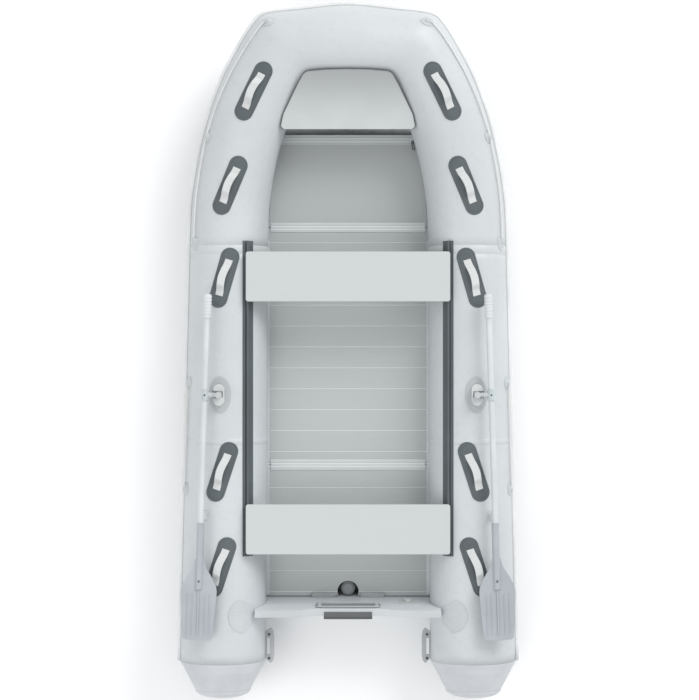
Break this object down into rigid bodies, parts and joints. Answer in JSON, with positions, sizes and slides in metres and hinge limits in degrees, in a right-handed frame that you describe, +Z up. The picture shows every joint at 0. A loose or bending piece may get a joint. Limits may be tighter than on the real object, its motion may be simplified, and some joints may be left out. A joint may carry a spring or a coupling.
{
  "type": "inflatable dinghy",
  "caption": "Inflatable dinghy with a rounded bow, slatted board floor, transom with motor pad, sliding benches, stowed oars, grab straps, lifelines and a small bow deck.",
  "frame": {"origin": "centre of the hull in plan, on the ground plane it rests on", "axes": "+X to starboard, +Y towards the bow, +Z up"},
  "size_m": [1.636, 3.3, 0.54],
  "materials": {
    "tube_fabric": "light grey coated fabric, satin",
    "cone_rubber": "light grey moulded, satin",
    "strake_rubber": "near-white ribbed extrusion, satin",
    "bottom_fabric": "grey coated fabric, satin",
    "keel_rubber": "dark ribbed, matte",
    "baffle_fabric": "coated fabric, satin",
    "floor_board": "grey painted slatted board, satin",
    "floor_alloy": "anodised extrusion, satin",
    "stop_block": "grey painted, satin",
    "transom_paint": "grey painted board, satin",
    "edge_plastic": "light grey, satin",
    "shell_rubber": "ribbed grey moulding, satin",
    "motor_plastic": "grey, fine grain",
    "motor_pad_rubber": "dark grey grooved, matte",
    "white_plastic": "off-white, satin",
    "valve_plastic": "mid grey, matte",
    "cap_plastic": "dark grey, matte",
    "pad_rubber": "dark grey-green, matte",
    "webbing": "pale diagonal-weave webbing",
    "rail_rubber": "dark grey-green, matte",
    "bench_paint": "pale grey painted board, satin",
    "slider_plastic": "dark grey, matte",
    "deck_plastic": "pale grey, satin",
    "trim_rubber": "dark, matte",
    "guide_rubber": "grey moulding, satin",
    "rope_fibre": "pale braided cord",
    "lock_patch_rubber": "grey, matte",
    "lock_alloy": "satin",
    "shaft_alloy": "anodised, satin",
    "grip_plastic": "ribbed pale grey",
    "collar_plastic": "milky, glossy",
    "blade_plastic": "blue-grey, satin",
    "handle_rubber": "grey moulding, satin",
    "dark_screw": "black, satin",
    "ring_steel": "polished stainless"
  },
  "bodies": {
    "hull": {"port_chamber": "tube_fabric", "starboard_chamber": "tube_fabric", "bow_chamber": "tube_fabric", "chamber_baffles": "baffle_fabric", "stern_cones": "cone_rubber", "rub_strake": "strake_rubber", "bottom_fabric": "bottom_fabric", "keel_tube": "bottom_fabric", "keel_strip": "keel_rubber", "bow_floor_panel": "floor_board", "mid_floor_panel": "floor_board", "aft_floor_panel": "floor_board", "floor_joiners": "floor_alloy", "side_stringers": "floor_alloy", "floor_stops": "stop_block", "transom_board": "transom_paint", "transom_cap": "edge_plastic", "transom_shells": "shell_rubber", "motor_plate": "motor_plastic", "motor_pad": "motor_pad_rubber", "drain_fitting": "white_plastic", "keel_valve": "valve_plastic", "tube_valves": "valve_plastic", "handle_pads": "pad_rubber", "handle_straps": "webbing", "rail_strips": "rail_rubber", "bench_rails": "rail_rubber", "bow_deck": "deck_plastic", "deck_trim": "trim_rubber", "rope_guides": "guide_rubber", "grab_ropes": "rope_fibre", "oarlock_patches": "lock_patch_rubber", "oarlock_bases": "white_plastic", "oar_clips": "white_plastic", "stern_handles": "handle_rubber", "handle_screws": "dark_screw", "tow_patch": "handle_rubber"},
    "fore_bench": {"fore_bench": "bench_paint", "fore_bench_sliders": "slider_plastic"},
    "aft_bench": {"aft_bench": "bench_paint", "aft_bench_sliders": "slider_plastic"},
    "port_oarlock": {"port_oarlock": "lock_alloy"},
    "port_oar": {"port_oar_shaft": "shaft_alloy", "port_oar_grip": "grip_plastic", "port_oar_collar": "collar_plastic", "port_oar_blade": "blade_plastic"},
    "port_button": {"port_blade_button": "cap_plastic"},
    "starboard_oarlock": {"starboard_oarlock": "lock_alloy"},
    "starboard_oar": {"starboard_oar_shaft": "shaft_alloy", "starboard_oar_grip": "grip_plastic", "starboard_oar_collar": "collar_plastic", "starboard_oar_blade": "blade_plastic"},
    "starboard_button": {"starboard_blade_button": "cap_plastic"},
    "port_valve_cap": {"port_valve_cap": "cap_plastic"},
    "starboard_valve_cap": {"starboard_valve_cap": "cap_plastic"},
    "bow_valve_cap": {"bow_valve_cap": "cap_plastic"},
    "keel_valve_cap": {"keel_valve_cap": "valve_plastic"},
    "drain_plug": {"drain_plug": "white_plastic"},
    "tow_ring": {"tow_ring": "ring_steel"}
  },
  "joints": [
    {"name": "fore_bench_slide", "type": "slide", "parent": "hull", "child": "fore_bench", "axis": [0, 1, 0], "range_m": [-0.45, 0]},
    {"name": "aft_bench_slide", "type": "slide", "parent": "hull", "child": "aft_bench", "axis": [0, 1, 0], "range_m": [0, 0.45]},
    {"name": "port_oar_swing", "type": "hinge", "parent": "hull", "child": "port_oarlock", "pos_m": [-0.604, -0.198, 0.462], "axis": [0, 0, -1], "range_deg": [0, 95]},
    {"name": "port_oar_tilt", "type": "hinge", "parent": "port_oarlock", "child": "port_oar", "pos_m": [-0.668, -0.198, 0.462], "axis": [-1, 0, 0], "range_deg": [0, 2.5]},
    {"name": "port_blade_button_press", "type": "slide", "parent": "port_oar", "child": "port_button", "axis": [0, 0, -1], "range_m": [0, 0.003], "stiffness_N_per_m": 400, "springref_m": -0.002},
    {"name": "starboard_oar_swing", "type": "hinge", "parent": "hull", "child": "starboard_oarlock", "pos_m": [0.604, -0.198, 0.462], "axis": [0, 0, 1], "range_deg": [0, 95]},
    {"name": "starboard_oar_tilt", "type": "hinge", "parent": "starboard_oarlock", "child": "starboard_oar", "pos_m": [0.668, -0.198, 0.462], "axis": [-1, 0, 0], "range_deg": [0, 2.5]},
    {"name": "starboard_blade_button_press", "type": "slide", "parent": "starboard_oar", "child": "starboard_button", "axis": [0, 0, -1], "range_m": [0, 0.003], "stiffness_N_per_m": 400, "springref_m": -0.002},
    {"name": "port_valve_cap_turn", "type": "hinge", "parent": "hull", "child": "port_valve_cap", "pos_m": [-0.39459, -0.902, 0.16766], "axis": [0.9816, 0, -0.1908], "range_deg": [0, 90]},
    {"name": "starboard_valve_cap_turn", "type": "hinge", "parent": "hull", "child": "starboard_valve_cap", "pos_m": [0.39459, -0.902, 0.16766], "axis": [-0.9816, 0, -0.1908], "range_deg": [0, 90]},
    {"name": "bow_valve_cap_turn", "type": "hinge", "parent": "hull", "child": "bow_valve_cap", "pos_m": [0.32213, 0.99264, 0.22587], "axis": [-0.9767, -0.0984, -0.1908], "range_deg": [0, 90]},
    {"name": "keel_valve_cap_turn", "type": "hinge", "parent": "hull", "child": "keel_valve_cap", "pos_m": [0, -1.141, 0.1132], "axis": [0, 0, 1], "range_deg": [0, 90]},
    {"name": "drain_plug_pull", "type": "slide", "parent": "hull", "child": "drain_plug", "axis": [0, 0.9903, 0.1392], "range_m": [0, 0.04]},
    {"name": "tow_ring_swing", "type": "hinge", "parent": "hull", "child": "tow_ring", "pos_m": [0, 1.60538, 0.23773], "axis": [1, 0, 0], "range_deg": [-33, 80]}
  ]
}
